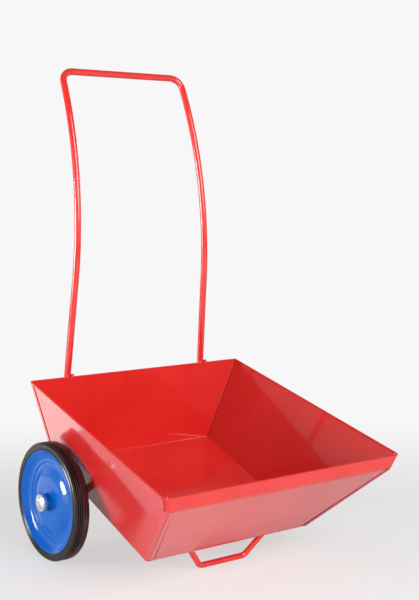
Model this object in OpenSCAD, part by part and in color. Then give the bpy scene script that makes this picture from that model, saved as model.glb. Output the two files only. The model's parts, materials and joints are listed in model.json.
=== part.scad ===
/* [Tub] */
// Width of the floor, over the outside of the sheet
floor_w = 335; // [310:1:350]
// Length of the floor, over the outside of the sheet
floor_len = 307; // [290:1:330]
// Height of the front wall up to its brow, square to the floor
front_h = 166; // [150:0.5:180]
// Length of the brow, the steeper strip that stiffens the top of the front wall
brow_h = 22; // [16:0.5:30]
// Height of the back wall up to the rim, square to the floor
back_h = 145; // [130:0.5:160]
// Lean of the front wall away from square
front_lean = 29.3; // [20:0.1:34]
// Lean of the brow back towards the tub
brow_lean = 5; // [0:0.5:12]
// Lean of the back wall, and of the handle's lower legs, away from square
back_lean = 13.8; // [10:0.1:18]
// Lean of the side walls away from square
side_lean = 20.6; // [16:0.1:24]
// Thickness of the sheet
sheet_t = 1.2; // [1:0.1:1.6]
// Outside radius of the folds along the floor and under the brow
fold_r = 3; // [3:0.5:8]
// Outside radius of the corners between the side walls and the front
front_corner_r = 8; // [6:0.5:12]
// Outside radius of the corners between the side walls and the back
back_corner_r = 4; // [4:0.5:8]
// Diameter of the rolled fold along the rim
roll_d = 3.4; // [2.8:0.1:4.5]

/* [Corner seams] */
// Width of the flange that each side wall turns round onto the front
flange_w = 11; // [9:0.5:16]
// Opening of the front seam at its upper end
seam_top = 0.8; // [0.5:0.1:1.5]
// Opening of the front seam at its lower end
seam_low = 2.6; // [1.5:0.1:4]
// Width of the flange that the brow turns round onto each side wall
brow_flange_w = 13; // [10:0.5:18]
// Width of the flange that the back wall laps over each side wall
lap_w = 10; // [7:0.5:14]

/* [Handle] */
// Gap between the handle's legs and the back wall
leg_gap = 3.4; // [2:0.1:6]
// Bend radius behind the floor, at the bar's centre line
wrap_r = 14; // [10.5:0.5:14]
// Diameter of the handle bar
bar_d = 12; // [10:0.5:14]
// Distance between the two runs under the floor, centre to centre
run_gap = 300; // [240:1:320]
// Length of each run under the floor, ahead of the back bend
run_len = 149; // [110:1:170]
// Inward lean of both legs
leg_splay = 2.15; // [0:0.05:4]
// Length of the straight lower leg
leg_len = 308; // [240:1:340]
// Radius of the bowed upper leg
bow_r = 660; // [500:1:900]
// Angle that the upper leg bows back
bow_turn = 30.7; // [20:0.05:38]
// Bend radius of the top corners, at the bar's centre line
grip_bend_r = 22; // [18:1:40]

/* [Front foot] */
// Diameter of the foot bar
foot_d = 10; // [8:0.5:12]
// Drop from the floor to the underside of the foot, square to the floor
foot_drop = 45.3; // [41:0.1:50]
// Length of the straight bar on the ground
foot_w = 80; // [50:1:110]
// Outward flare of the foot's legs
foot_flare = 38; // [10:1:42]
// Bend radius of the foot, at the bar's centre line
foot_bend_r = 13; // [10:0.5:18]
// Distance of the foot behind the floor's front edge
foot_y = 9; // [8:0.5:20]

/* [Axle] */
// Diameter of the axle between the wheels
axle_d = 14; // [13.5:0.5:16]
// Diameter of the turned ends that carry the wheels
journal_d = 12; // [10:0.5:12.5]
// Distance of the axle behind the floor's front edge
axle_y = 222; // [205:1:240]

/* [Wheels] */
// Gap between a tyre's inner shoulder and the tub's sloping side
wheel_gap = 2.2; // [1.5:0.1:8]
// Diameter over the tyre
wheel_d = 200; // [190:1:204]
// Width of the tyre
tyre_w = 27; // [24:0.5:27]
// Diameter over the pressed discs
disc_d = 174; // [168:1:178]
// Thickness of the disc sheet
disc_t = 1.2; // [0.8:0.1:1.5]
// Diameter of the ring where the two discs meet
ring_d = 132; // [120:1:136]
// Outer diameter of the pressed hub boss
boss_d = 29; // [28:0.5:32]
// Length of the hub over both bosses
hub_len = 35; // [33:0.5:37]
// Outer diameter of the hub sleeve
sleeve_d = 20; // [18.5:0.5:21]
// Outer diameter of the bushes
bush_d = 16; // [15:0.5:16.5]
// Length of a bush without its flange
bush_len = 12; // [8:0.5:15]
// Diameter of the bush flange
flange_d = 22; // [20:0.5:23]
// Thickness of the bush flange
flange_t = 1.5; // [1:0.1:2]
// Outer diameter of the washers
washer_d = 24; // [20:0.5:24.5]
// Thickness of the washers
washer_t = 1.5; // [1:0.1:2]
// Outer diameter of the push-on hub cap
cap_d = 30; // [28:0.5:34]
// Height of the cap's dome
dome_h = 5; // [3:0.5:7]
// Radius of the tyre's shoulders
shoulder_r = 3; // [2:0.5:4]
// Number of fine grooves in the tread
groove_n = 4; // [2:1:4]
// Distance from groove to groove
groove_pitch = 2.9; // [2.5:0.1:3.2]
// Depth of the grooves
groove_depth = 1; // [0.5:0.1:1.5]

/* [Fits] */
// Gap between welded pieces and between a washer and its neighbour
clear = 0.3; // [0.2:0.05:0.5]
// Radial running clearance between bush and journal
run_fit = 0.05; // [0.03:0.01:0.1]
// Radial gap of pressed-in and pushed-on pieces
push_fit = 0.02; // [0.01:0.01:0.05]

/* [Hidden] */
$fn = 96;
over = 1;
arc_steps = 6;
bar_neck = 0.04;
bar_reach = 0.3;
bend_space = 1;

wheel_r = wheel_d / 2;
disc_r = disc_d / 2;
ring_r = ring_d / 2;
hub_half = hub_len / 2;

// The tub's own frame starts under the floor's front edge: y runs back along
// the floor's underside and z stands square to it.
run_z = -clear - bar_d / 2;
axle_z = run_z - bar_d / 2 - clear - axle_d / 2;
foot_z = -foot_drop + foot_d / 2;

// The floor slopes down to the front until the foot rests on the ground.
foot_to_axle = [axle_y - foot_y, axle_z - foot_z];
slope = asin((wheel_r - foot_d / 2) / norm(foot_to_axle)) - atan2(foot_to_axle[1], foot_to_axle[0]);

crease = [-front_h * tan(front_lean), front_h];
front_top = crease + brow_h * [sin(brow_lean), cos(brow_lean)];
back_top = [floor_len + back_h * tan(back_lean), back_h];
rim_len = norm(back_top - front_top);
rim_tilt = atan2(back_top[1] - front_top[1], back_top[0] - front_top[0]);
half_crease = floor_w / 2 + front_h * tan(side_lean);
half_front = floor_w / 2 + front_top[1] * tan(side_lean);
half_back = floor_w / 2 + back_h * tan(side_lean);
rim_taper = atan2(half_front - half_back, rim_len);
roll_r = roll_d / 2;
mid_t = sheet_t / 2;

// Each wheel stands clear of the tub's sloping side.
wheel_x = floor_w / 2 + tan(side_lean) * (axle_z + wheel_r - shoulder_r)
    + (wheel_gap + shoulder_r) / cos(side_lean) - shoulder_r + tyre_w / 2;

// The handle's leg lies in a plane that leans in over its run.
back_turn = 90 - back_lean;
grip_turn = back_turn - bow_turn;
leg_out = wrap_r * (1 - cos(back_turn)) + leg_len * sin(back_turn)
    + bow_r * (cos(grip_turn) - cos(back_turn)) + bend_space * sin(grip_turn);
corner_turn = acos(sin(leg_splay) * sin(grip_turn));
corner_roll = atan2(cos(leg_splay), sin(leg_splay) * cos(grip_turn));
grip_half = run_gap / 2 - sin(leg_splay) * leg_out - grip_bend_r * sin(corner_turn);
bend_y = floor_len + (leg_gap + bar_d / 2) / cos(back_lean) + run_z * tan(back_lean)
    - wrap_r * tan(back_turn / 2);

// Height and reach of the grip's centre line in the tub's frame.
leg_back = bend_y + wrap_r * sin(back_turn) + leg_len * cos(back_turn)
    + bow_r * (sin(back_turn) - sin(grip_turn)) + bend_space * cos(grip_turn);
corner_reach = grip_bend_r * (sin(corner_turn) - (1 - cos(corner_turn)) / tan(corner_turn));
grip_y = leg_back + corner_reach * cos(grip_turn);
grip_z = run_z + cos(leg_splay) * (leg_out + corner_reach * sin(grip_turn));

function turned(p) = [p[0] * cos(slope) - p[1] * sin(slope), p[0] * sin(slope) + p[1] * cos(slope)];
reach_front = turned(front_top + mid_t * [cos(rim_tilt), sin(rim_tilt)])[0] - roll_r;
reach_back = max(turned([grip_y, grip_z])[0] + bar_d / 2, turned([axle_y, axle_z])[0] + wheel_r);
origin_y = (reach_front + reach_back) / 2;
lift = wheel_r - turned([axle_y, axle_z])[1];

// ---- frames ----

module in_tub() {
    translate([0, -origin_y, lift]) rotate([slope, 0, 0]) children();
}

module on_rim_plane() {
    translate([0, front_top[0], front_top[1]]) rotate([rim_tilt, 0, 0]) children();
}

// A wheel part is drawn about z with its outer face up.
module at_wheel(side) {
    axle_at = turned([axle_y, axle_z]);
    translate([side * wheel_x, axle_at[0] - origin_y, wheel_r]) rotate([0, side * 90, 0]) children();
}

module both_sides() {
    children();
    mirror([1, 0, 0]) children();
}

// ---- shared shapes ----

// Points of a round of radius r in place of corner b, on the way from a to c.
function rounded(a, b, c, r) =
    let (u = (a - b) / norm(a - b), v = (c - b) / norm(c - b),
         half = acos(u * v) / 2,
         middle = b + (u + v) / norm(u + v) * r / sin(half),
         from = atan2((b + u * r / tan(half) - middle)[1], (b + u * r / tan(half) - middle)[0]),
         to = atan2((b + v * r / tan(half) - middle)[1], (b + v * r / tan(half) - middle)[0]),
         turn = to - from > 180 ? to - from - 360 : to - from < -180 ? to - from + 360 : to - from)
    [for (i = [0:arc_steps]) middle + r * [cos(from + turn * i / arc_steps), sin(from + turn * i / arc_steps)]];

// Extrudes an outline drawn in (y, z) along x, centred.
module across(width) {
    translate([-width / 2, 0, 0]) rotate([90, 0, 90]) linear_extrude(width) children();
}

// Extrudes an outline drawn in (x, z) from y0 back to y1.
module along(y0, y1) {
    translate([0, y1, 0]) rotate([90, 0, 0]) linear_extrude(y1 - y0) children();
}

// Round bar laid from a list of steps: [length] runs straight, and
// [radius, angle, roll] bends, the roll choosing the side that it bends to.
// The straight runs are a hair thinner and reach a little into the bends.
module bar(d, steps, i = 0) {
    if (i < len(steps)) {
        step = steps[i];
        if (len(step) == 1) {
            translate([0, 0, -bar_reach]) cylinder(d = d - bar_neck, h = step[0] + 2 * bar_reach);
            translate([0, 0, step[0]]) bar(d, steps, i + 1);
        } else {
            r = step[0];
            angle = step[1];
            rotate([0, 0, step[2]]) {
                translate([r, 0, 0]) rotate([90, 0, 0]) rotate([0, 0, 180 - angle])
                    rotate_extrude(angle = angle) translate([r, 0]) circle(d = d);
                translate([r - r * cos(angle), 0, r * sin(angle)]) rotate([0, angle, 0])
                    rotate([0, 0, -step[2]]) bar(d, steps, i + 1);
            }
        }
    }
}

// ---- tub ----

// Side view of the walls, t inside the sheet's outside and open upwards by rise.
function side_view(t, rise) =
    let (p = inset([front_top, crease, [0, 0], [floor_len, 0], back_top], -t),
         from = p[0] + rise * (p[0] - p[1]) / norm(p[0] - p[1]),
         to = p[4] + rise * (p[4] - p[3]) / norm(p[4] - p[3]))
    concat([from], rounded(p[0], p[1], p[2], fold_r - t), rounded(p[1], p[2], p[3], fold_r - t),
        rounded(p[2], p[3], p[4], fold_r - t), [to]);

// End view of the side walls, inset by t.
function end_view(t) =
    let (top = front_top[1] + back_h,
         foot = floor_w / 2 + t * tan(side_lean) - t / cos(side_lean),
         head = floor_w / 2 + top * tan(side_lean) - t / cos(side_lean),
         right = rounded([head, top], [foot, t], [0, t], fold_r - t))
    concat([[head, top]], right, [for (i = [arc_steps:-1:0]) [-right[i][0], right[i][1]]], [[-head, top]]);

// What rounding takes off a corner whose edge e runs through the origin. Each of
// its two planes also holds one of the vectors, and both are moved in by t.
module corner_cut(e, v1, v2, t, r) {
    flat = norm([e[0], e[1]]);
    ex = [e[0] * e[2] / flat, e[1] * e[2] / flat, -flat] / norm(e);
    ey = [-e[1], e[0], 0] / flat;
    w1 = [v1 * ex, v1 * ey] / norm([v1 * ex, v1 * ey]);
    w2 = [v2 * ex, v2 * ey] / norm([v2 * ex, v2 * ey]);
    tip = (w1 + w2) * t / sin(acos(w1 * w2));
    arc = rounded(tip + floor_w * w1, tip, tip + floor_w * w2, r - t);
    last = len(arc) - 1;
    rotate([0, acos(e[2] / norm(e)), atan2(e[1], e[0])])
        translate([0, 0, -r]) linear_extrude(2 * floor_w) polygon(concat(
            [arc[0] + 3 * (arc[0] - arc[1])], [for (i = [1:last - 1]) arc[i]],
            [arc[last] + 3 * (arc[last] - arc[last - 1]), tip - r * (w1 + w2)]));
}

module wall_block(t, rise) {
    difference() {
        intersection() {
            across(2 * half_front + 4 * over) polygon(side_view(t, rise));
            along(crease[0] - 2 * over, back_top[0] + 4 * over) polygon(end_view(t));
        }
        both_sides() {
            translate([floor_w / 2, 0, 0]) corner_cut([half_crease - floor_w / 2, crease[0], crease[1]],
                [-1, 0, 0], [0, 1, 0], t, front_corner_r);
            translate([half_crease, crease[0], crease[1]])
                corner_cut([half_front - half_crease, front_top[0] - crease[0], front_top[1] - crease[1]],
                    [-1, 0, 0], [0, 1, 0], t, front_corner_r);
            translate([floor_w / 2, floor_len, 0])
                corner_cut([half_back - floor_w / 2, back_top[0] - floor_len, back_h],
                    [-1, 0, 0], [0, -1, 0], t, back_corner_r);
        }
    }
}

// Cut through the front wall between it and the flange of a side wall.
module front_seams() {
    up = front_h / cos(front_lean);
    turn = atan2(half_crease - floor_w / 2, up);
    low = fold_r + 4;
    high = up / cos(turn) - (flange_w + seam_top) * tan(turn) - 3;
    both_sides() rotate([90 + front_lean, 0, 0]) translate([floor_w / 2, 0, -over - sheet_t])
        rotate([0, 0, -turn]) linear_extrude(sheet_t + 2 * over) polygon([[-flange_w - seam_low, low],
            [-flange_w, low], [-flange_w, high], [-flange_w - seam_top, high]]);
}

// Plate on the right side wall, from deep inside its outer face to proud of it.
// Its outline is drawn in (y, up the wall).
module on_side(outline, deep, proud) {
    translate([floor_w / 2, 0, 0]) rotate([0, side_lean, 0]) translate([-deep, 0, 0])
        rotate([90, 0, 90]) linear_extrude(deep + proud) polygon(outline);
}

// Outline of a strip along the back edge of a side wall, from y0 to y1 ahead of it.
function back_strip(y0, y1) =
    let (low = fold_r + 2, high = back_h / cos(side_lean) - roll_r, lean = tan(back_lean) * cos(side_lean))
    [[floor_len - y1 + low * lean, low], [floor_len - y0 + low * lean, low],
     [floor_len - y0 + high * lean, high], [floor_len - y1 + high * lean, high]];

// Outline of the flange that the brow turns round onto a side wall.
function brow_flange() =
    let (low = front_h / cos(side_lean) + 1, high = front_top[1] / cos(side_lean) - roll_r,
         start = front_corner_r * 0.7)
    [[crease[0] + start, low], [crease[0] + brow_flange_w, low + 2],
     [front_top[0] + brow_flange_w, high + brow_flange_w * tan(rim_tilt)], [front_top[0] + start, high]];

// Rolled fold along the rim.
module roll() {
    front_r = front_corner_r - mid_t;
    back_r = back_corner_r - mid_t;
    front_turn = 90 + rim_taper;
    back_turn = 90 - rim_taper;
    front_half = half_front - mid_t - front_r * tan(front_turn / 2);
    back_half = half_back - mid_t - back_r * tan(back_turn / 2);
    side = (rim_len - sheet_t) / cos(rim_taper) - front_r * tan(front_turn / 2) - back_r * tan(back_turn / 2);
    translate([-front_half, mid_t, 0]) rotate([0, 90, 0])
        bar(roll_d, [[2 * front_half], [front_r, front_turn, 90], [side], [back_r, back_turn, 90],
            [2 * back_half], [back_r, back_turn, 90], [side], [front_r, front_turn, 90]]);
}

module tub() {
    color("firebrick") in_tub() {
        difference() {
            wall_block(0, 0);
            wall_block(sheet_t, over);
            front_seams();
            both_sides() on_side(back_strip(sheet_t, sheet_t + 1), sheet_t + over, 0);
        }
        both_sides() {
            on_side(back_strip(back_corner_r * 0.6, lap_w), 0.4, sheet_t);
            on_side(brow_flange(), 0.4, sheet_t);
        }
        on_rim_plane() roll();
    }
}

// ---- handle, foot and axle ----

module handle_bar() {
    half = [[run_len], [wrap_r, back_turn, 0], [leg_len], [bow_r, bow_turn, 180], [bend_space],
        [grip_bend_r, corner_turn, corner_roll]];
    color("firebrick") in_tub() for (side = [0, 1]) mirror([side, 0, 0])
        translate([-run_gap / 2, bend_y - run_len, run_z]) rotate([0, leg_splay, 0])
            rotate([-90, 0, 0]) rotate([0, 0, -90])
                bar(bar_d, side == 0 ? concat(half, [[2 * grip_half]]) : half);
}

module front_foot() {
    leg = foot_drop / cos(foot_flare);
    bend = [foot_bend_r, 90 - foot_flare, 0];
    out = foot_w / 2 + foot_bend_r * sin(bend[1]) + leg * sin(foot_flare);
    rise = foot_bend_r * (1 - cos(bend[1])) + leg * cos(foot_flare);
    color("firebrick") in_tub() difference() {
        translate([-out, foot_y, foot_z + rise]) rotate([0, 180 - foot_flare, 0]) rotate([0, 0, 180])
            bar(foot_d, [[leg], bend, [foot_w], bend, [leg]]);
        translate([-half_front, -floor_len, -clear]) cube([2 * half_front, 3 * floor_len, floor_len]);
    }
}

module axle() {
    shoulder = wheel_x - hub_half - flange_t - washer_t - 3 * clear;
    tip = wheel_x + hub_half + flange_t + washer_t + dome_h / 2;
    axle_at = turned([axle_y, axle_z]);
    color("firebrick") translate([0, axle_at[0] - origin_y, wheel_r]) rotate([0, 90, 0]) {
        translate([0, 0, -shoulder]) cylinder(d = axle_d, h = 2 * shoulder);
        translate([0, 0, -tip]) cylinder(d = journal_d, h = 2 * tip);
    }
}

// ---- wheels ----

// Side profile of a pressed disc's outer face, from the hub hole to the edge.
edge_z = tyre_w / 2 - 1;
ring_z = clear / 2 + disc_t;
boss_r = boss_d / 2;
function disc_face() = concat(
    [[sleeve_d / 2 + push_fit, hub_half]],
    rounded([0, hub_half], [boss_r, hub_half], [boss_r, 0], 2),
    rounded([boss_r, hub_half], [boss_r, hub_half * 0.48], [ring_r, ring_z + 1], 2),
    rounded([boss_r, hub_half * 0.48], [ring_r - 4, ring_z], [ring_r, ring_z], 6),
    rounded([ring_r - 4, ring_z], [ring_r, ring_z], [ring_r + 1, ring_z + 2], 1.5),
    rounded([ring_r, ring_z], [ring_r + 1.5, ring_z + 1.6], [ring_r + 6, ring_z + 1.6], 1),
    rounded([ring_r + 1.5, ring_z + 1.6], [ring_r + 5, ring_z + 1.6], [disc_r, edge_z], 2),
    [[disc_r - 1, edge_z - 0.4], [disc_r, edge_z]]);

// The same outline moved inwards by t, square to each stretch.
function inset(p, t) = [for (i = [0:len(p) - 1])
    let (before = p[i] - p[max(i - 1, 0)], after = p[min(i + 1, len(p) - 1)] - p[i],
         a = i == 0 ? after : before, b = i == len(p) - 1 ? before : after,
         na = [a[1], -a[0]] / norm(a), nb = [b[1], -b[0]] / norm(b))
    p[i] + t * (na + nb) / (1 + na * nb)];

module disc() {
    face = disc_face();
    back = inset(face, disc_t);
    rotate_extrude() polygon(concat(face, [for (i = [len(back) - 1:-1:0]) back[i]]));
}

// The tyre is clamped in the groove between the two discs.
module tyre() {
    base = inset(disc_face(), disc_t + clear);
    seat = [for (p = base) if (p[0] > ring_r + 8 && p[1] > clear) p];
    half = tyre_w / 2;
    low = seat[0];
    upper = concat([[low[0], 0]], seat,
        [[disc_r + clear * 2, edge_z - disc_t], [disc_r + 1.5, edge_z + 0.2], [wheel_r - shoulder_r * 1.6, half]],
        rounded([wheel_r - shoulder_r * 1.6, half], [wheel_r, half], [wheel_r, 0], shoulder_r),
        [[wheel_r, 0]]);
    difference() {
        rotate_extrude() polygon(concat(upper, [for (i = [len(upper) - 2:-1:1]) [upper[i][0], -upper[i][1]]]));
        for (i = [0:groove_n - 1]) translate([0, 0, half - shoulder_r - 1 - i * groove_pitch])
            rotate_extrude() polygon([[wheel_r - groove_depth, 0], [wheel_r + over, -0.8], [wheel_r + over, 0.8]]);
    }
}

module hub_sleeve() {
    difference() {
        cylinder(d = sleeve_d, h = hub_len, center = true);
        cylinder(d = bush_d + 2 * push_fit, h = hub_len + 2 * over, center = true);
    }
}

module bush() {
    difference() {
        union() {
            translate([0, 0, hub_half - bush_len]) cylinder(d = bush_d, h = bush_len + flange_t / 2);
            translate([0, 0, hub_half]) cylinder(d = flange_d, h = flange_t);
        }
        cylinder(d = journal_d + 2 * run_fit, h = hub_len);
    }
}

module washer() {
    translate([0, 0, hub_half + flange_t + clear]) difference() {
        cylinder(d = washer_d, h = washer_t);
        translate([0, 0, -over]) cylinder(d = journal_d + 2 * clear, h = washer_t + 2 * over);
    }
}

module hub_cap() {
    rim_z = hub_half + clear + 0.2;
    pocket_z = hub_half + flange_t + washer_t + 2 * clear;
    dome_r = (pow(cap_d / 2, 2) + pow(dome_h, 2)) / (2 * dome_h);
    brow_z = pocket_z + 1.2;
    difference() {
        union() {
            translate([0, 0, rim_z]) cylinder(d = cap_d, h = brow_z - rim_z);
            intersection() {
                translate([0, 0, brow_z + dome_h - dome_r]) sphere(r = dome_r);
                translate([0, 0, brow_z - over / 2]) cylinder(d = cap_d, h = dome_h + over);
            }
        }
        translate([0, 0, rim_z - over]) cylinder(d = washer_d + 4 * clear, h = pocket_z - rim_z + over);
        cylinder(d = journal_d + 2 * push_fit, h = pocket_z + dome_h / 2 + clear);
        translate([0, 0, brow_z + dome_h - 0.4]) cylinder(d = 2.6, h = over);
    }
}

module wheel_piece(side, piece) {
    turn = side == "left" ? -1 : 1;
    at_wheel(turn) {
        if (piece == "tyre") color("#2b2626") tyre();
        if (piece == "outer_disc") color("dodgerblue") disc();
        if (piece == "inner_disc") color("dodgerblue") mirror([0, 0, 1]) disc();
        if (piece == "hub_sleeve") color("dodgerblue") hub_sleeve();
        if (piece == "outer_bush") color("gainsboro") bush();
        if (piece == "inner_bush") color("gainsboro") mirror([0, 0, 1]) bush();
        if (piece == "outer_washer") color("silver") washer();
        if (piece == "inner_washer") color("silver") mirror([0, 0, 1]) washer();
        if (piece == "hub_cap") color("white") hub_cap();
    }
}

tub();
handle_bar();
front_foot();
axle();
for (side = ["left", "right"]) {
    for (piece = ["tyre", "outer_disc", "inner_disc", "hub_sleeve", "outer_bush", "inner_bush",
        "outer_washer", "inner_washer", "hub_cap"]) {
        wheel_piece(side, piece);
    }
}
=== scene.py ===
import json
import math

import bmesh
import bpy
from mathutils import Matrix, Vector


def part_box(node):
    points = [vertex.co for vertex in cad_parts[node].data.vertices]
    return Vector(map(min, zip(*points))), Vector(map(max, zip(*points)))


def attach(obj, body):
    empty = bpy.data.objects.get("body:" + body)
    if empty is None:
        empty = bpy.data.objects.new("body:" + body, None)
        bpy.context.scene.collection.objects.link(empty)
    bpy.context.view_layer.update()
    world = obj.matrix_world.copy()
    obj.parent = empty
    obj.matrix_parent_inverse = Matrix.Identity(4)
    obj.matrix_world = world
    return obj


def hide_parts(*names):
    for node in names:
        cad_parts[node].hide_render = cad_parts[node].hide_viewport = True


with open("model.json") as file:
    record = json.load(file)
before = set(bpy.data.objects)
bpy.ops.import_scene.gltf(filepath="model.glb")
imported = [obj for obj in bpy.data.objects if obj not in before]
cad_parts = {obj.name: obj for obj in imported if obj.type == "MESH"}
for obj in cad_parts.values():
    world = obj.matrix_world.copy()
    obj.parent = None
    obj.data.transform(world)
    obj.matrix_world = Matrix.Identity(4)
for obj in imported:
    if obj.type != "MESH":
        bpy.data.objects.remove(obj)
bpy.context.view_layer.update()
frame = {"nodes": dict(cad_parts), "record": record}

nodes = frame["nodes"]
scene = bpy.context.scene
sides = {"left": -1, "right": 1}


def deselectAll():
    if bpy.context.object and bpy.context.object.mode == "EDIT":
        bpy.ops.object.mode_set(mode="OBJECT")
    bpy.ops.object.select_all(action="DESELECT")


def makeActive(piece):
    deselectAll()
    piece.select_set(True)
    bpy.context.view_layer.objects.active = piece


def named(name):
    piece = bpy.context.object
    piece.name = name
    piece.data.name = name
    return piece


def editOn(piece):
    makeActive(piece)
    bpy.ops.object.mode_set(mode="EDIT")


def editOff():
    bpy.ops.object.mode_set(mode="OBJECT")


def pick(piece, kind, test):
    # selects the corners or edges whose middle passes the test
    bpy.ops.mesh.select_mode(type=kind)
    mesh = bmesh.from_edit_mesh(piece.data)
    for group in (mesh.verts, mesh.edges, mesh.faces):
        for part in group:
            part.select = False
    for part in mesh.verts if kind == "VERT" else mesh.edges:
        middle = part.co if kind == "VERT" else (part.verts[0].co + part.verts[1].co) / 2
        if test(middle):
            part.select = True
    mesh.select_flush_mode()
    bmesh.update_edit_mesh(piece.data)


def near(value, target, gap=0.0004):
    return abs(value - target) < gap


def addModifier(piece, kind, **values):
    makeActive(piece)
    bpy.ops.object.modifier_add(type=kind)
    modifier = piece.modifiers[-1]
    for key, value in values.items():
        setattr(modifier, key, value)
    return modifier


def applyModifiers(piece):
    makeActive(piece)
    for modifier in list(piece.modifiers):
        bpy.ops.object.modifier_apply(modifier=modifier.name)


def softShade(piece, angle):
    makeActive(piece)
    bpy.ops.object.shade_smooth_by_angle(angle=math.radians(angle))


def settle(piece):
    # puts the place into the mesh, so that the object sits at the origin
    makeActive(piece)
    bpy.ops.object.transform_apply(location=True, rotation=True, scale=True)


def finish(piece, body, slotName, material, *stoodFor):
    piece.data.materials.clear()
    piece.data.materials.append(material)
    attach(piece, body)
    if stoodFor:
        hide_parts(*stoodFor)


def smoothCopy(node, name, angle=32):
    # a merged copy of a node, shaded smooth over its round faces
    deselectAll()
    piece = nodes[node].copy()
    piece.data = nodes[node].data.copy()
    piece.parent = None
    for key in list(piece.keys()):
        del piece[key]
    scene.collection.objects.link(piece)
    piece.name = name
    piece.data.name = name
    editOn(piece)
    bpy.ops.mesh.select_all(action="SELECT")
    bpy.ops.mesh.customdata_custom_splitnormals_clear()
    bpy.ops.mesh.remove_doubles(threshold=0.00001)
    editOff()
    softShade(piece, angle)
    return piece


def newFinish(name):
    material = bpy.data.materials.new(name)
    material.use_nodes = True
    tree = material.node_tree
    shader = tree.nodes["Principled BSDF"]
    place = tree.nodes.new("ShaderNodeTexCoord")
    return material, tree, shader, place


def noiseOn(tree, place, scale, detail=3.0, roughness=0.55):
    noise = tree.nodes.new("ShaderNodeTexNoise")
    noise.inputs["Scale"].default_value = scale
    noise.inputs["Detail"].default_value = detail
    noise.inputs["Roughness"].default_value = roughness
    tree.links.new(place.outputs["Object"], noise.inputs["Vector"])
    return noise


def blendColours(tree, factor, first, second, low=0.35, high=0.65):
    ramp = tree.nodes.new("ShaderNodeValToRGB")
    ramp.color_ramp.elements[0].position = low
    ramp.color_ramp.elements[0].color = (*first, 1)
    ramp.color_ramp.elements[1].position = high
    ramp.color_ramp.elements[1].color = (*second, 1)
    tree.links.new(factor, ramp.inputs["Fac"])
    return ramp.outputs["Color"]


def spread(tree, factor, low, high):
    limits = tree.nodes.new("ShaderNodeMapRange")
    limits.inputs["To Min"].default_value = low
    limits.inputs["To Max"].default_value = high
    tree.links.new(factor, limits.inputs["Value"])
    return limits.outputs["Result"]


def bumpFrom(tree, shader, heights):
    # heights is a list of (noise output, depth in metres), added up into one bump
    total = None
    for height, depth in heights:
        scaled = tree.nodes.new("ShaderNodeMath")
        scaled.operation = "MULTIPLY"
        scaled.inputs[1].default_value = depth * 1000
        tree.links.new(height, scaled.inputs[0])
        if total is None:
            total = scaled
            continue
        added = tree.nodes.new("ShaderNodeMath")
        added.operation = "ADD"
        tree.links.new(total.outputs["Value"], added.inputs[0])
        tree.links.new(scaled.outputs["Value"], added.inputs[1])
        total = added
    bump = tree.nodes.new("ShaderNodeBump")
    bump.inputs["Distance"].default_value = 0.001
    tree.links.new(total.outputs["Value"], bump.inputs["Height"])
    tree.links.new(bump.outputs["Normal"], shader.inputs["Normal"])


def enamel(name, look):
    material, tree, shader, place = newFinish(name)
    cloud = noiseOn(tree, place, look["cloudScale"])
    fleck = noiseOn(tree, place, look["fleckScale"], 2.0)
    peel = noiseOn(tree, place, look["peelScale"], 1.0)
    wave = noiseOn(tree, place, look["waveScale"], 1.0)
    colour = blendColours(tree, cloud.outputs["Fac"], look["deep"], look["bright"], 0.3, 0.7)
    tree.links.new(colour, shader.inputs["Base Color"])
    rough = spread(tree, fleck.outputs["Fac"], look["roughLow"], look["roughHigh"])
    tree.links.new(rough, shader.inputs["Roughness"])
    shader.inputs["Specular IOR Level"].default_value = look["gloss"]
    shader.inputs["Coat Weight"].default_value = look["coat"]
    shader.inputs["Coat Roughness"].default_value = look["coatRough"]
    shader.inputs["Coat IOR"].default_value = look["coatIor"]
    bumpFrom(tree, shader, [(wave.outputs["Fac"], look["waveDepth"]),
                            (peel.outputs["Fac"], look["peelDepth"])])
    return material


redLook = {
    "deep": (0.69, 0.019, 0.0155), "bright": (0.78, 0.029, 0.0235), "cloudScale": 9, "fleckScale": 11,
    "roughLow": 0.18, "roughHigh": 0.25, "gloss": 0.2, "coat": 1.0, "coatRough": 0.05, "coatIor": 1.6,
    "waveScale": 5, "waveDepth": 0.0003, "peelScale": 260, "peelDepth": 0.000008,
}
blueLook = {
    "deep": (0.0, 0.10, 0.46), "bright": (0.0, 0.125, 0.53), "cloudScale": 14, "fleckScale": 20,
    "roughLow": 0.18, "roughHigh": 0.25, "gloss": 0.05, "coat": 0.6, "coatRough": 0.05, "coatIor": 1.5,
    "waveScale": 16, "waveDepth": 0.00005, "peelScale": 300, "peelDepth": 0.000006,
}
redEnamel = enamel("redEnamel", redLook)
blueEnamel = enamel("blueEnamel", blueLook)


def grooveShadeAndWear(tree, place, colour, look):
    # darkens the colour below the tread's top, by how far each point is from the axle: painted shade in the
    # grooves and over the sidewall, with the lighter tread top partly standing for wear
    middle = tree.nodes.new("ShaderNodeVectorMath")
    middle.operation = "SUBTRACT"
    middle.inputs[1].default_value = look["axle"]
    tree.links.new(place.outputs["Object"], middle.inputs[0])
    flat = tree.nodes.new("ShaderNodeVectorMath")
    flat.operation = "MULTIPLY"
    flat.inputs[1].default_value = (0, 1, 1)
    tree.links.new(middle.outputs["Vector"], flat.inputs[0])
    radius = tree.nodes.new("ShaderNodeVectorMath")
    radius.operation = "LENGTH"
    tree.links.new(flat.outputs["Vector"], radius.inputs[0])
    share = tree.nodes.new("ShaderNodeMapRange")
    share.inputs["From Min"].default_value = look["shadeTo"]
    share.inputs["From Max"].default_value = look["treadColourFrom"]
    tree.links.new(radius.outputs["Value"], share.inputs["Value"])
    mix = tree.nodes.new("ShaderNodeMix")
    mix.data_type = "RGBA"
    mix.inputs["A"].default_value = (*look["shade"], 1)
    tree.links.new(share.outputs["Result"], mix.inputs["Factor"])
    tree.links.new(colour, mix.inputs["B"])
    return mix.outputs["Result"]


rubberGrain = {"cloudScale": 30, "grainScale": 900, "dustScale": 25, "grainDepth": 0.00006}


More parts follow.
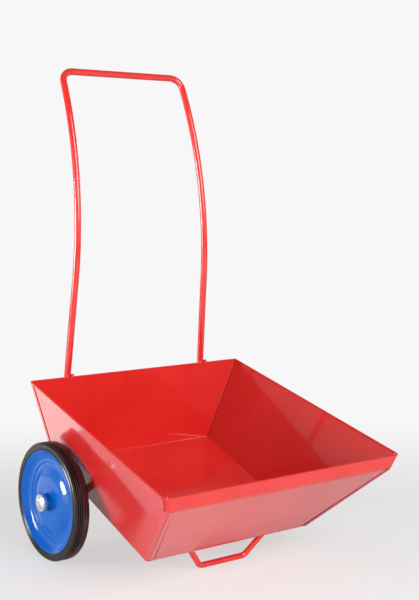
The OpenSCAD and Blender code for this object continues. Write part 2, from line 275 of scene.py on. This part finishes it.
def rubber(name, look):
    material, tree, shader, place = newFinish(name)
    cloud = noiseOn(tree, place, rubberGrain["cloudScale"])
    grain = noiseOn(tree, place, rubberGrain["grainScale"], 2.0)
    dust = noiseOn(tree, place, rubberGrain["dustScale"], 2.0)
    colour = blendColours(tree, cloud.outputs["Fac"], look["deep"], look["bright"])
    # painted shade in the grooves and over the sidewall, where the look gives an axle
    if "axle" in look:
        colour = grooveShadeAndWear(tree, place, colour, look)
    tree.links.new(colour, shader.inputs["Base Color"])
    rough = spread(tree, dust.outputs["Fac"], look["roughLow"], look["roughHigh"])
    tree.links.new(rough, shader.inputs["Roughness"])
    shader.inputs["Specular IOR Level"].default_value = look["gloss"]
    bumpFrom(tree, shader, [(grain.outputs["Fac"], rubberGrain["grainDepth"])])
    return material


# black rubber whose colour carries a red tint, a painted reflection of the red tub
tyreRubber = rubber("tyreRubber", {"deep": (0.036, 0.019, 0.020), "bright": (0.056, 0.029, 0.031),
                                   "roughLow": 0.15, "roughHigh": 0.24, "gloss": 0.5,
                                   # the axle's place, and the radii between which the painted groove shade
                                   # gives way to the tread's colour
                                   "axle": tuple(sum(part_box("left_tyre"), Vector()) / 2),
                                   "shade": (0.013, 0.008, 0.007), "shadeTo": 0.0985, "treadColourFrom": 0.0994})


metalGrain = {"cloudScale": 60, "scuffScale": 45}


def metal(name, look):
    # metal and smooth plastic, told apart by how metallic the look is
    material, tree, shader, place = newFinish(name)
    cloud = noiseOn(tree, place, metalGrain["cloudScale"])
    scuff = noiseOn(tree, place, metalGrain["scuffScale"], 2.0)
    colour = blendColours(tree, cloud.outputs["Fac"], look["deep"], look["bright"])
    tree.links.new(colour, shader.inputs["Base Color"])
    rough = spread(tree, scuff.outputs["Fac"], look["roughLow"], look["roughHigh"])
    tree.links.new(rough, shader.inputs["Roughness"])
    shader.inputs["Metallic"].default_value = look["metallic"]
    bumpFrom(tree, shader, [(scuff.outputs["Fac"], look["scuffDepth"])])
    return material


capChrome = metal("capChrome", {"deep": (0.68, 0.68, 0.69), "bright": (0.78, 0.78, 0.78), "metallic": 0.85,
                                "roughLow": 0.14, "roughHigh": 0.24, "scuffDepth": 0.000008})
washerZinc = metal("washerZinc", {"deep": (0.52, 0.53, 0.56), "bright": (0.66, 0.66, 0.68), "metallic": 1.0,
                                  "roughLow": 0.28, "roughHigh": 0.42, "scuffDepth": 0.00002})
bushPlastic = metal("bushPlastic", {"deep": (0.66, 0.65, 0.61), "bright": (0.76, 0.75, 0.71), "metallic": 0.0,
                                    "roughLow": 0.42, "roughHigh": 0.58, "scuffDepth": 0.00002})
# dark paint for the plates that stand for the shade in the slits and the shadow under the brow's lap
slitShadePaint = rubber("slitShadePaint", {"deep": (0.035, 0.002, 0.002), "bright": (0.060, 0.003, 0.003),
                                     "roughLow": 0.55, "roughHigh": 0.75, "gloss": 0.05})
print("finishes made")


# where the floor lies, from the mount on its inside
floorMount = frame["record"]["mounts"][0]
tubTilt = math.atan2(-floorMount["axis"][1], floorMount["axis"][2])
tub = {
    "floorWidth": 0.335, "floorLength": 0.307, "mountBack": 0.1485, "sheet": 0.0012,
    "frontHeight": 0.166, "frontLean": 29.3, "browLength": 0.022, "browLean": 5,
    "backHeight": 0.145, "backLean": 13.8, "sideLean": 20.6, "rollRadius": 0.0017, "rollCorner": 0.0085,
    "floorFold": 0.0026, "sideFold": 0.0018, "browFold": 0.005, "frontCorner": 0.006, "browCorner": 0.008,
    "backCorner": 0.0022, "foldSteps": 5, "rollCornerSteps": 7,
}


def tan(angle):
    return math.tan(math.radians(angle))


creaseAt = Vector((0, -tub["frontHeight"] * tan(tub["frontLean"]), tub["frontHeight"]))
browTop = creaseAt + tub["browLength"] * Vector((0, math.sin(math.radians(tub["browLean"])),
                                                 math.cos(math.radians(tub["browLean"]))))
backTop = Vector((0, tub["floorLength"] + tub["backHeight"] * tan(tub["backLean"]), tub["backHeight"]))


def halfAt(height):
    return tub["floorWidth"] / 2 + height * tan(tub["sideLean"])


# from the tub's own level frame, which starts under the floor's front edge, to its place
tubPlace = (Matrix.Translation(floorMount["pos_m"]) @ Matrix.Rotation(tubTilt, 4, "X")
            @ Matrix.Translation((0, -tub["mountBack"], -tub["sheet"])))


def layInTub(piece):
    piece.matrix_world = tubPlace @ piece.matrix_world
    settle(piece)


def growEdge(step, halfBefore, halfAfter):
    bpy.ops.mesh.extrude_region_move(TRANSFORM_OT_translate={"value": step})
    bpy.ops.transform.resize(value=(halfAfter / halfBefore, 1, 1))


def makeTubShell():
    halfFloor = tub["floorWidth"] / 2
    bpy.ops.mesh.primitive_plane_add(size=1, location=(0, 0, 0))
    shell = named("tubShell")
    editOn(shell)
    bpy.ops.mesh.select_all(action="SELECT")
    bpy.ops.transform.resize(value=(tub["floorWidth"], tub["floorLength"], 1))
    bpy.ops.transform.translate(value=(0, tub["floorLength"] / 2, 0))
    # front wall and brow
    pick(shell, "EDGE", lambda c: near(c.y, 0))
    growEdge(creaseAt, halfFloor, halfAt(creaseAt.z))
    growEdge(browTop - creaseAt, halfAt(creaseAt.z), halfAt(browTop.z))
    # back wall
    pick(shell, "EDGE", lambda c: near(c.y, tub["floorLength"]) and near(c.z, 0))
    growEdge(backTop - Vector((0, tub["floorLength"], 0)), halfFloor, halfAt(backTop.z))
    # side walls
    for side in sides.values():
        pick(shell, "VERT", lambda c: c.x * side > 0)
        bpy.ops.mesh.edge_face_add()
    bpy.ops.mesh.select_all(action="SELECT")
    bpy.ops.mesh.normals_make_consistent(inside=False)
    editOff()
    floorFace = min(shell.data.polygons, key=lambda face: abs(face.center.z))
    if floorFace.normal.z > 0:
        editOn(shell)
        bpy.ops.mesh.select_all(action="SELECT")
        bpy.ops.mesh.flip_normals()
        editOff()
    # folds, each with its own share of the widest bevel
    widest = tub["browCorner"]
    halfCrease = halfAt(creaseAt.z)
    folds = [
        (lambda c: near(c.z, 0) and near(c.x, 0), tub["floorFold"]),
        (lambda c: near(c.z, 0) and not near(c.x, 0), tub["sideFold"]),
        (lambda c: near(c.y, creaseAt.y) and near(c.z, creaseAt.z), tub["browFold"]),
        (lambda c: near(abs(c.x), (halfFloor + halfCrease) / 2) and near(c.y, creaseAt.y / 2),
         tub["frontCorner"]),
        (lambda c: near(abs(c.x), (halfAt(browTop.z) + halfCrease) / 2) and c.y < creaseAt.y + 0.01,
         tub["browCorner"]),
        (lambda c: near(abs(c.x), (halfFloor + halfAt(backTop.z)) / 2) and c.y > tub["floorLength"],
         tub["backCorner"]),
    ]
    editOn(shell)
    for test, radius in folds:
        pick(shell, "EDGE", test)
        bpy.ops.transform.edge_bevelweight(value=radius / widest)
    editOff()
    addModifier(shell, "BEVEL", limit_method="WEIGHT", width=widest, segments=tub["foldSteps"],
                offset_type="OFFSET")
    addModifier(shell, "SOLIDIFY", thickness=tub["sheet"], offset=-1, use_even_offset=True)
    applyModifiers(shell)
    return shell


tubShell = makeTubShell()


def makeRoll():
    # a round bead along the middle of the sheet's top edge
    mid = tub["sheet"] / 2
    bpy.ops.mesh.primitive_plane_add(size=1, location=(0, 0, 0))
    roll = named("rimRoll")
    alongRim = (backTop - browTop).normalized()
    corners = {}
    for side in sides.values():
        corners[(side, -1)] = browTop + alongRim * mid + Vector((side * (halfAt(browTop.z) - mid), 0, 0))
        corners[(side, 1)] = backTop - alongRim * mid + Vector((side * (halfAt(backTop.z) - mid), 0, 0))
    editOn(roll)
    for (side, end), corner in corners.items():
        pick(roll, "VERT", lambda c: near(c.x, side * 0.5) and near(c.y, end * 0.5) and near(c.z, 0, 1e-6))
        start = Vector((side * 0.5, end * 0.5, 0))
        bpy.ops.transform.translate(value=corner - start)
    pick(roll, "VERT", lambda c: c.y < 0)
    bpy.ops.mesh.bevel(offset=tub["rollCorner"], segments=tub["rollCornerSteps"], affect="VERTICES")
    pick(roll, "VERT", lambda c: c.y > tub["floorLength"] / 2)
    bpy.ops.mesh.bevel(offset=tub["backCorner"], segments=tub["foldSteps"], affect="VERTICES")
    bpy.ops.mesh.select_all(action="SELECT")
    bpy.ops.mesh.delete(type="ONLY_FACE")
    editOff()
    makeActive(roll)
    bpy.ops.object.convert(target="CURVE")
    roll = bpy.context.object
    roll.data.bevel_depth = tub["rollRadius"]
    roll.data.bevel_resolution = 3
    bpy.ops.object.convert(target="MESH")
    roll = named("rimRoll")
    softShade(roll, 60)
    return roll


rimRoll = makeRoll()

# what is cut through the sheet at the corners, and the laps that lie on it;
# a piece's ends are how far it stays from the foot and from the top of its edge
seams = {
    "cut": 0.004, "edgeBevel": 0.0003, "bedding": 0.0001,
    # the slit in the front wall, wider on the right and widest at its foot
    "slitTop": {"left": 0.0009, "right": 0.0018}, "slitFoot": {"left": 0.0020, "right": 0.0050},
    "slitEnds": (0.003, 0.006), "backSlit": 0.0013, "backSlitEnds": (0.004, 0.003),
    # the dark plates in the slits, painted shade standing for the gaps' shadow, which reach past them by the
    # overhang
    "overhang": 0.0004, "shadePlateThick": 0.0003, "shadePlateDepth": {"left": 0.0008, "right": 0.0004},
    "shadePlateTop": 0.0055, "backShadePlateEnds": (0.0035, 0.0025),
    "notchBelow": 0.0026, "notchFrom": 0.0052, "notchTo": 0.0125, "notchThick": 0.0002,
    "insideFrom": (0.0045, 0.0065), "insideWidth": 0.017, "insideEnds": (0.003, 0.004), "insideThick": 0.0008,
    "flangeFrom": (0.0035, 0.0045), "flangeWidth": 0.0115, "flangeEnds": (0.001, 0.004),
    "flangeThick": 0.0009,
    "browLapFrom": 0.005, "browLapWidth": 0.013, "browLapFlare": 0.001, "browLapEnds": (0.0015, 0.002),
    "backLapFrom": 0.001, "lapWidth": 0.010, "backLapEnds": (0.002, 0.0025), "lapThick": 0.0011,
}


def makePlate(name, corners, out, thickness, bevel=0):
    # a plate whose lower face has these four corners, raised along out
    bpy.ops.mesh.primitive_plane_add(size=1, location=(0, 0, 0))
    plate = named(name)
    starts = [Vector((-0.5, -0.5, 0)), Vector((0.5, -0.5, 0)), Vector((0.5, 0.5, 0)), Vector((-0.5, 0.5, 0))]
    editOn(plate)
    for start, corner in zip(starts, corners):
        pick(plate, "VERT", lambda c: (c - start).length < 1e-5)
        bpy.ops.transform.translate(value=Vector(corner) - start)
    bpy.ops.mesh.select_all(action="SELECT")
    bpy.ops.mesh.extrude_region_move(TRANSFORM_OT_translate={"value": Vector(out) * thickness})
    bpy.ops.mesh.select_all(action="SELECT")
    bpy.ops.mesh.normals_make_consistent(inside=False)
    editOff()
    if bevel:
        addModifier(plate, "BEVEL", width=bevel, segments=2, limit_method="ANGLE")
        applyModifiers(plate)
    return plate


def shiftPlate(plate, step):
    plate.location = step
    settle(plate)


def alongEdge(low, high, away, nearGap, farGap, ends):
    # four corners of a strip beside the edge from low to high, on the side that away points to
    line = (high - low).normalized()
    sideways = (away - away.dot(line) * line).normalized()
    first, last = low + line * ends[0], high - line * ends[1]
    return [first + sideways * nearGap[0], last + sideways * nearGap[1],
            last + sideways * farGap[1], first + sideways * farGap[0]]


def cutSlit(corners, out):
    # through the whole sheet, from both sides of its face
    cutter = makePlate("slit", corners, out, seams["cut"])
    shiftPlate(cutter, out * (-seams["cut"] / 2))
    addModifier(tubShell, "BOOLEAN", operation="DIFFERENCE", object=cutter, solver="EXACT")
    applyModifiers(tubShell)
    bpy.data.objects.remove(cutter)


def cornerPoints(side):
    # the tub's sharp corners on one side
    return {
        "floorFront": Vector((side * tub["floorWidth"] / 2, 0, 0)),
        "floorBack": Vector((side * tub["floorWidth"] / 2, tub["floorLength"], 0)),
        "crease": Vector((side * halfAt(creaseAt.z), creaseAt.y, creaseAt.z)),
        "brow": Vector((side * halfAt(browTop.z), browTop.y, browTop.z)),
        "back": Vector((side * halfAt(backTop.z), backTop.y, backTop.z)),
    }


frontLean = math.radians(tub["frontLean"])
frontOut = Vector((0, -math.cos(frontLean), -math.sin(frontLean)))
backward, forward = Vector((0, 1, 0)), Vector((0, -1, 0))
laps = []
shadePlates = []
for sideName, side in sides.items():
    at = cornerPoints(side)
    inward = Vector((-side, 0, 0))
    sideLean = math.radians(tub["sideLean"])
    sideOut = Vector((side * math.cos(sideLean), 0, -math.sin(sideLean)))
    width, fold, over = seams["flangeWidth"], tub["backCorner"], seams["overhang"]
    foot, top = seams["slitFoot"][sideName], seams["slitTop"][sideName]
    frontEdge = (at["floorFront"], at["crease"], inward)
    backEdge = (at["floorBack"], at["back"], forward)
    # slit beside the side wall's flange on the front, then the one inside the back corner
    cutSlit(alongEdge(*frontEdge, (width, width), (width + foot, width + top), seams["slitEnds"]), frontOut)
    backFar = (fold + seams["backSlit"],) * 2
    cutSlit(alongEdge(*backEdge, (fold, fold), backFar, seams["backSlitEnds"]), sideOut)
    # dark plates painted as the shade in each slit, and as the shadow in the notch under the brow
    frontEnds = (seams["slitEnds"][0] - over, seams["shadePlateTop"])
    shadePlate = makePlate(
        sideName + "FrontSlitShade",
        alongEdge(*frontEdge, (width - over,) * 2, (width + foot + over, width + top + over), frontEnds),
        frontOut, seams["shadePlateThick"])
    shiftPlate(shadePlate, frontOut * -seams["shadePlateDepth"][sideName])
    shadePlates.append(shadePlate)
    shadePlate = makePlate(
        sideName + "BackSlitShade",
        alongEdge(*backEdge, (fold - over,) * 2, (fold + seams["backSlit"] + over,) * 2,
                  seams["backShadePlateEnds"]),
        sideOut, seams["shadePlateThick"])
    shiftPlate(shadePlate, sideOut * -(tub["sheet"] - seams["bedding"]))
    shadePlates.append(shadePlate)
    sideLine = (at["crease"] - at["floorFront"]).normalized()
    browLength = (at["brow"] - at["crease"]).length
    shadePlates.append(makePlate(
        sideName + "CornerNotchShade",
        alongEdge(at["crease"] - sideLine * seams["notchBelow"], at["brow"], backward,
                  (seams["notchFrom"],) * 2, (seams["notchTo"],) * 2, (0, browLength)),
        sideOut, seams["notchThick"]))
    # the strip that closes the front slit from the inside
    strip = makePlate(
        sideName + "InsideStrip",
        alongEdge(*frontEdge, seams["insideFrom"], (seams["insideWidth"],) * 2, seams["insideEnds"]),
        -frontOut, seams["insideThick"], seams["edgeBevel"])
    shiftPlate(strip, frontOut * -(tub["sheet"] - seams["bedding"]))
    laps.append(strip)
    # the flange itself, a hair proud of the front wall
    laps.append(makePlate(
        sideName + "FrontFlange",
        alongEdge(*frontEdge, seams["flangeFrom"], (width, width), seams["flangeEnds"]),
        frontOut, seams["flangeThick"], seams["edgeBevel"]))
    # the brow's flange on the side wall, and the back wall's on its other end
    flare = seams["browLapFlare"]
    laps.append(makePlate(
        sideName + "BrowLap",
        alongEdge(at["crease"], at["brow"], backward, (seams["browLapFrom"],) * 2,
                  (seams["browLapWidth"] - flare, seams["browLapWidth"] + flare), seams["browLapEnds"]),
        sideOut, seams["lapThick"], seams["edgeBevel"]))
    laps.append(makePlate(
        sideName + "BackLap",
        alongEdge(*backEdge, (seams["backLapFrom"],) * 2, (seams["lapWidth"],) * 2, seams["backLapEnds"]),
        sideOut, seams["lapThick"], seams["edgeBevel"]))
print("seams cut")

for piece in [tubShell, rimRoll] + laps + shadePlates:
    layInTub(piece)
softShade(tubShell, 30)
addModifier(tubShell, "WEIGHTED_NORMAL", keep_sharp=True, weight=60)
applyModifiers(tubShell)
finish(tubShell, "barrow", "red_enamel", redEnamel, "tub")
finish(rimRoll, "barrow", "red_enamel", redEnamel)
for lap in laps:
    finish(lap, "barrow", "red_enamel", redEnamel)
# the dark plates are painted shade and shadow, set in the slits and under the brow's lap
for shadePlate in shadePlates:
    finish(shadePlate, "barrow", "red_enamel", slitShadePaint)
print("tub made", len(tubShell.data.polygons))


welds = {
    "legGap": 0.300, "legSplay": 2.15, "seed": 4, "lumps": 0.13,
    # at a leg: radius and its share each way, distance to either side, and place from the rim's back
    "blob": 0.0060, "blobShape": (0.75, 0.85, 0.8), "spacing": 0.0056, "behindRim": (0, 0.0035, -0.001),
    "forward": 0.0010, "lift": 0.0008,
    # at a front corner: the same, with the place from the brow's corner
    "corner": 0.0030, "cornerShape": (1.2, 1.2, 0.9), "cornerInward": 0.0066, "cornerBack": 0.0058,
    "cornerDown": 0.0004,
}


def makeWeld(name, place, radius, shape):
    # a small lumpy bead of weld
    bpy.ops.mesh.primitive_ico_sphere_add(subdivisions=3, radius=1, location=(0, 0, 0))
    bead = named(name)
    editOn(bead)
    bpy.ops.mesh.select_all(action="SELECT")
    bpy.ops.transform.vertex_random(offset=welds["lumps"], uniform=0.2, normal=0.5, seed=welds["seed"])
    bpy.ops.mesh.vertices_smooth(factor=0.5, repeat=2)
    editOff()
    bead.scale = tuple(radius * share for share in shape)
    bead.location = place
    settle(bead)
    softShade(bead, 80)
    finish(bead, "barrow", "red_enamel", redEnamel)


def makeWelds():
    # at the rim behind the back wall, where each leg is welded, and at the rim's front corners
    for sideName, side in sides.items():
        rimBack = tubPlace @ (backTop + Vector(welds["behindRim"]))
        legX = side * (welds["legGap"] / 2 - math.sin(math.radians(welds["legSplay"])) * backTop.z)
        for letter, shift in (("A", -1), ("B", 1)):
            place = (legX + shift * welds["spacing"], rimBack.y - welds["forward"], rimBack.z + welds["lift"])
            makeWeld(sideName + "LegWeld" + letter, place, welds["blob"], welds["blobShape"])
        fromBrow = Vector((-side * welds["cornerInward"], welds["cornerBack"], -welds["cornerDown"]))
        corner = tubPlace @ (cornerPoints(side)["brow"] + fromBrow)
        makeWeld(sideName + "RimWeld", corner, welds["corner"], welds["cornerShape"])


makeWelds()
barSlots = {"handle_bar": "red_enamel", "front_foot": "red_enamel", "axle": "axle_steel"}
for node, name in (("handle_bar", "handleBar"), ("front_foot", "frontFoot"), ("axle", "axleBar")):
    finish(smoothCopy(node, name), "barrow", barSlots[node], redEnamel, node)

tyre = {
    "outerRadius": 0.100, "steps": 144,
    # one side of the section as (radius, how far out): bead and sidewall, then shoulder
    "bead": [(0.0756, 0.0), (0.0762, 0.0025), (0.0868, 0.0102), (0.0872, 0.0119), (0.0882, 0.0131),
             (0.0893, 0.0134), (0.0902, 0.0130), (0.0910, 0.0125), (0.0935, 0.0127), (0.0941, 0.0133),
             (0.0952, 0.0135)],
    "shoulder": [(0.0968, 0.0133), (0.0984, 0.0126), (0.0994, 0.0113), (0.0998, 0.0104)],
    "grooves": (0.0084, 0.0046, 0.0008), "grooveHalf": 0.0009, "grooveDepth": 0.0024, "floorShare": 0.6,
    # a rib's round top: how far each point is from the groove's side, and how far below the tread
    "ribTop": 0.0008, "ribEase": 0.0004, "ribEaseDrop": 0.0002, "ribSideDrop": 0.0006, "lastRib": 0.0010,
    "plainTread": (-0.0040, -0.0085),
}


def tyreSection():
    oneSide = tyre["bead"] + tyre["shoulder"]
    tread = []
    top, half, depth = tyre["outerRadius"], tyre["grooveHalf"], tyre["grooveDepth"]
    ease, floorHalf = tyre["ribEase"], half * tyre["floorShare"]
    for middle in tyre["grooves"]:
        # round-topped rib before the groove, then the groove's floor
        tread += [(top, middle + half + tyre["ribTop"]), (top - tyre["ribEaseDrop"], middle + half + ease),
                  (top - tyre["ribSideDrop"], middle + half), (top - depth, middle + floorHalf),
                  (top - depth, middle - floorHalf), (top - tyre["ribSideDrop"], middle - half),
                  (top - tyre["ribEaseDrop"], middle - half - ease)]
    tread.append((top, tyre["grooves"][-1] - half - tyre["lastRib"]))
    plain = [(top, out) for out in tyre["plainTread"]]
    # the last point is left off, so the section stays open at its foot, which is hidden between the discs
    innerSide = [(radius, -out) for radius, out in reversed(oneSide)][:-1]
    return oneSide + tread + plain + innerSide


def spinSection(name, section, middle, outward, steps):
    # the section is drawn in the plane above the axle as (radius, how far out) and spun about it
    points = [Vector((middle.x + outward * out, middle.y, middle.z + radius)) for radius, out in section]
    seedSize = 0.001
    bpy.ops.mesh.primitive_plane_add(size=seedSize, location=(0, 0, 0))
    piece = named(name)
    editOn(piece)
    # one corner of the plane is kept, and the section is drawn with it
    pick(piece, "VERT", lambda c: c.x > 0 or c.y > 0)
    bpy.ops.mesh.delete(type="VERT")
    pick(piece, "VERT", lambda c: True)
    bpy.ops.transform.translate(value=points[0] - Vector((-seedSize / 2, -seedSize / 2, 0)))
    for before, after in zip(points, points[1:]):
        bpy.ops.mesh.extrude_region_move(TRANSFORM_OT_translate={"value": after - before})
    bpy.ops.mesh.select_all(action="SELECT")
    bpy.ops.mesh.spin(steps=steps, angle=math.radians(360), center=middle, axis=(1, 0, 0))
    bpy.ops.mesh.select_all(action="SELECT")
    bpy.ops.mesh.remove_doubles(threshold=0.00001)
    bpy.ops.mesh.select_all(action="SELECT")
    bpy.ops.mesh.normals_make_consistent(inside=False)
    editOff()
    return piece


def makeTyre(name, side):
    low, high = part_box(side + "_tyre")
    piece = spinSection(name, tyreSection(), (low + high) / 2, sides[side], tyre["steps"])
    softShade(piece, 38)
    return piece


disc = {
    "sheet": 0.0012, "steps": 128,
    # (radius, how far out) along the outer face: boss, domed dish, ring, band and rim
    "face": [(0.01002, 0.0175), (0.0127, 0.0175), (0.0138, 0.0171), (0.0144, 0.0161), (0.0145, 0.0150),
             (0.0145, 0.0108), (0.0147, 0.0098), (0.0153, 0.0091), (0.0163, 0.0087), (0.0200, 0.0085),
             (0.0280, 0.0084), (0.0350, 0.0082), (0.0400, 0.0078), (0.0440, 0.0071), (0.0475, 0.0061),
             (0.0505, 0.0050), (0.0535, 0.0037), (0.0560, 0.0026), (0.0585, 0.0018), (0.0610, 0.00145),
             (0.0645, 0.00135), (0.0654, 0.0015), (0.0660, 0.0020), (0.0664, 0.0026), (0.0670, 0.00293),
             (0.0680, 0.00297), (0.0705, 0.00297), (0.0725, 0.0032), (0.0745, 0.0039), (0.0765, 0.0049),
             (0.0785, 0.0062), (0.0805, 0.0077), (0.0825, 0.0093), (0.0845, 0.0109), (0.0860, 0.0119),
             (0.0866, 0.0124), (0.0870, 0.0125)],
}


def discSection():
    # the face, then the same line one sheet further in, back to the start
    face = [Vector(point) for point in disc["face"]]
    back = []
    for i, point in enumerate(face):
        along = (face[min(i + 1, len(face) - 1)] - face[max(i - 1, 0)]).normalized()
        back.append(point + disc["sheet"] * Vector((along.y, -along.x)))
    return [tuple(point) for point in face + back[::-1] + face[:1]]


def makeDisc(name, side, part):
    low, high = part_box(side + "_tyre")
    outward = sides[side] if part == "outer_disc" else -sides[side]
    piece = spinSection(name, discSection(), (low + high) / 2, outward, disc["steps"])
    softShade(piece, 50)
    return piece


cap = {
    "steps": 64,
    # (radius, how far out from its back), from the dimple in the middle over the face and round the skirt
    "section": [(0, 0.0080), (0.0010, 0.0081), (0.0016, 0.0088), (0.0023, 0.00915), (0.0032, 0.0092),
                (0.0055, 0.0090), (0.0082, 0.0082), (0.0105, 0.0072), (0.0120, 0.0064), (0.0126, 0.0063),
                (0.0132, 0.0066), (0.0139, 0.0066), (0.0145, 0.0063), (0.0149, 0.0057), (0.0150, 0.0049),
                (0.0150, 0.0008), (0.0148, 0.0001), (0.0143, 0.0), (0.0134, 0.0), (0.0132, 0.0003),
                (0.0132, 0.0030), (0.0100, 0.0034), (0, 0.0034)],
}


def makeCap(name, side):
    low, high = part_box(side + "_hub_cap")
    middle = (low + high) / 2
    middle.x = low.x if side == "right" else high.x
    piece = spinSection(name, cap["section"], middle, sides[side], cap["steps"])
    softShade(piece, 40)
    return piece


wheelFinish = {
    "tyre": ("tyre_rubber", tyreRubber), "outer_disc": ("blue_enamel", blueEnamel),
    "inner_disc": ("blue_enamel", blueEnamel), "hub_sleeve": ("blue_enamel", blueEnamel),
    "outer_bush": ("bush_plastic", bushPlastic), "inner_bush": ("bush_plastic", bushPlastic),
    "outer_washer": ("washer_zinc", washerZinc), "inner_washer": ("washer_zinc", washerZinc),
    "hub_cap": ("cap_chrome", capChrome),
}
for side in sides:
    for part, (slotName, material) in wheelFinish.items():
        body = "barrow" if part in ("outer_washer", "inner_washer", "hub_cap") else side + "_wheel"
        name = side + part.title().replace("_", "")
        if part == "tyre":
            piece = makeTyre(name, side)
        elif part in ("outer_disc", "inner_disc"):
            piece = makeDisc(name, side, part)
        elif part == "hub_cap":
            piece = makeCap(name, side)
        else:
            piece = smoothCopy(side + "_" + part, name)
        finish(piece, body, slotName, material, side + "_" + part)
print("bars and wheels made")


studio = {
    "floorSize": 14, "floorColour": 0.86, "floorRough": 0.5, "floorGloss": 0.15,
    "backgroundLevel": 0.93, "floorGlow": 0.6, "fadeFrom": 0.5, "fadeTo": 1.3,
    "horizon": 0.9, "horizonTo": 0.05, "ceiling": 0.2, "ceilingFrom": 0.45, "lampAim": (0, 0, 0.25),
    "keyPlace": (0.1, -2.7, 1.7), "keySize": 2.2, "keyPower": 82,
    "topPlace": (-0.4, 0.1, 2.9), "topSize": 3.0, "topPower": 3,
    "leftPlace": (-3.14, 1.15, 0.56), "leftSize": 1.02, "leftPower": 78,
    "backPlace": (-0.45, 1.25, 0.02), "backSize": 1.5, "backPower": 4.2,
    "cameraPlace": (-1.1821, -1.5924, 0.6243), "cameraTarget": (-0.1588, -0.2384, 0.4645), "lens": 71.1,
}


def makeFloor():
    bpy.ops.mesh.primitive_plane_add(size=studio["floorSize"], location=(0, 0, 0))
    floor = named("studioFloor")
    material, tree, shader, place = newFinish("studioFloorPaint")
    shader.inputs["Base Color"].default_value = (studio["floorColour"],) * 3 + (1,)
    shader.inputs["Roughness"].default_value = studio["floorRough"]
    shader.inputs["Specular IOR Level"].default_value = studio["floorGloss"]
    # far from the object the floor runs into the background for the camera
    away = tree.nodes.new("ShaderNodeVectorMath")
    away.operation = "LENGTH"
    tree.links.new(place.outputs["Object"], away.inputs[0])
    fade = tree.nodes.new("ShaderNodeMapRange")
    fade.interpolation_type = "SMOOTHSTEP"
    fade.inputs["From Min"].default_value = studio["fadeFrom"]
    fade.inputs["From Max"].default_value = studio["fadeTo"]
    fade.inputs["To Min"].default_value = studio["floorGlow"]
    tree.links.new(away.outputs["Value"], fade.inputs["Value"])
    path = tree.nodes.new("ShaderNodeLightPath")
    seen = tree.nodes.new("ShaderNodeMath")
    seen.operation = "MULTIPLY"
    tree.links.new(path.outputs["Is Camera Ray"], seen.inputs[0])
    tree.links.new(fade.outputs["Result"], seen.inputs[1])
    glow = tree.nodes.new("ShaderNodeEmission")
    glow.inputs["Strength"].default_value = studio["backgroundLevel"]
    mix = tree.nodes.new("ShaderNodeMixShader")
    tree.links.new(seen.outputs["Value"], mix.inputs["Fac"])
    tree.links.new(shader.outputs["BSDF"], mix.inputs[1])
    tree.links.new(glow.outputs["Emission"], mix.inputs[2])
    tree.links.new(mix.outputs["Shader"], tree.nodes["Material Output"].inputs["Surface"])
    floor.data.materials.append(material)


def makeWorld():
    # pale all round near the floor, darker overhead, and plain pale for the camera
    world = bpy.data.worlds.new("studioAir")
    scene.world = world
    world.use_nodes = True
    tree = world.node_tree
    background = tree.nodes["Background"]
    place = tree.nodes.new("ShaderNodeTexCoord")
    split = tree.nodes.new("ShaderNodeSeparateXYZ")
    tree.links.new(place.outputs["Generated"], split.inputs["Vector"])
    height = tree.nodes.new("ShaderNodeMapRange")
    height.interpolation_type = "SMOOTHSTEP"
    height.inputs["From Min"].default_value = studio["horizonTo"]
    height.inputs["From Max"].default_value = studio["ceilingFrom"]
    height.inputs["To Min"].default_value = studio["horizon"]
    height.inputs["To Max"].default_value = studio["ceiling"]
    tree.links.new(split.outputs["Z"], height.inputs["Value"])
    path = tree.nodes.new("ShaderNodeLightPath")
    level = tree.nodes.new("ShaderNodeMix")
    level.inputs["B"].default_value = studio["backgroundLevel"]
    tree.links.new(path.outputs["Is Camera Ray"], level.inputs["Factor"])
    tree.links.new(height.outputs["Result"], level.inputs["A"])
    tree.links.new(level.outputs["Result"], background.inputs["Strength"])
    background.inputs["Color"].default_value = (1, 1, 1, 1)


def addLamp(name, key, target=studio["lampAim"]):
    place = studio[key + "Place"]
    bpy.ops.object.light_add(type="AREA", location=place)
    lamp = bpy.context.object
    lamp.name = name
    lamp.data.shape = "DISK"
    lamp.data.size = studio[key + "Size"]
    lamp.data.energy = studio[key + "Power"]
    lamp.rotation_euler = (Vector(target) - Vector(place)).to_track_quat("-Z", "Y").to_euler()
    lamp.visible_camera = False


def addCamera():
    place = Vector(studio["cameraPlace"])
    bpy.ops.object.camera_add(location=place)
    camera = bpy.context.object
    camera.rotation_euler = (Vector(studio["cameraTarget"]) - place).to_track_quat("-Z", "Y").to_euler()
    camera.data.sensor_fit = "VERTICAL"
    camera.data.sensor_height = 36
    camera.data.lens = studio["lens"]
    scene.camera = camera


deselectAll()
makeFloor()
makeWorld()
for key in ("key", "top", "left"):
    addLamp(key + "Lamp", key)
# lies just above the floor and faces straight up, for the left wall to mirror
addLamp("backLamp", "back", (*studio["backPlace"][:2], 1))
addCamera()
scene.view_settings.view_transform = "Standard"
print("studio made")
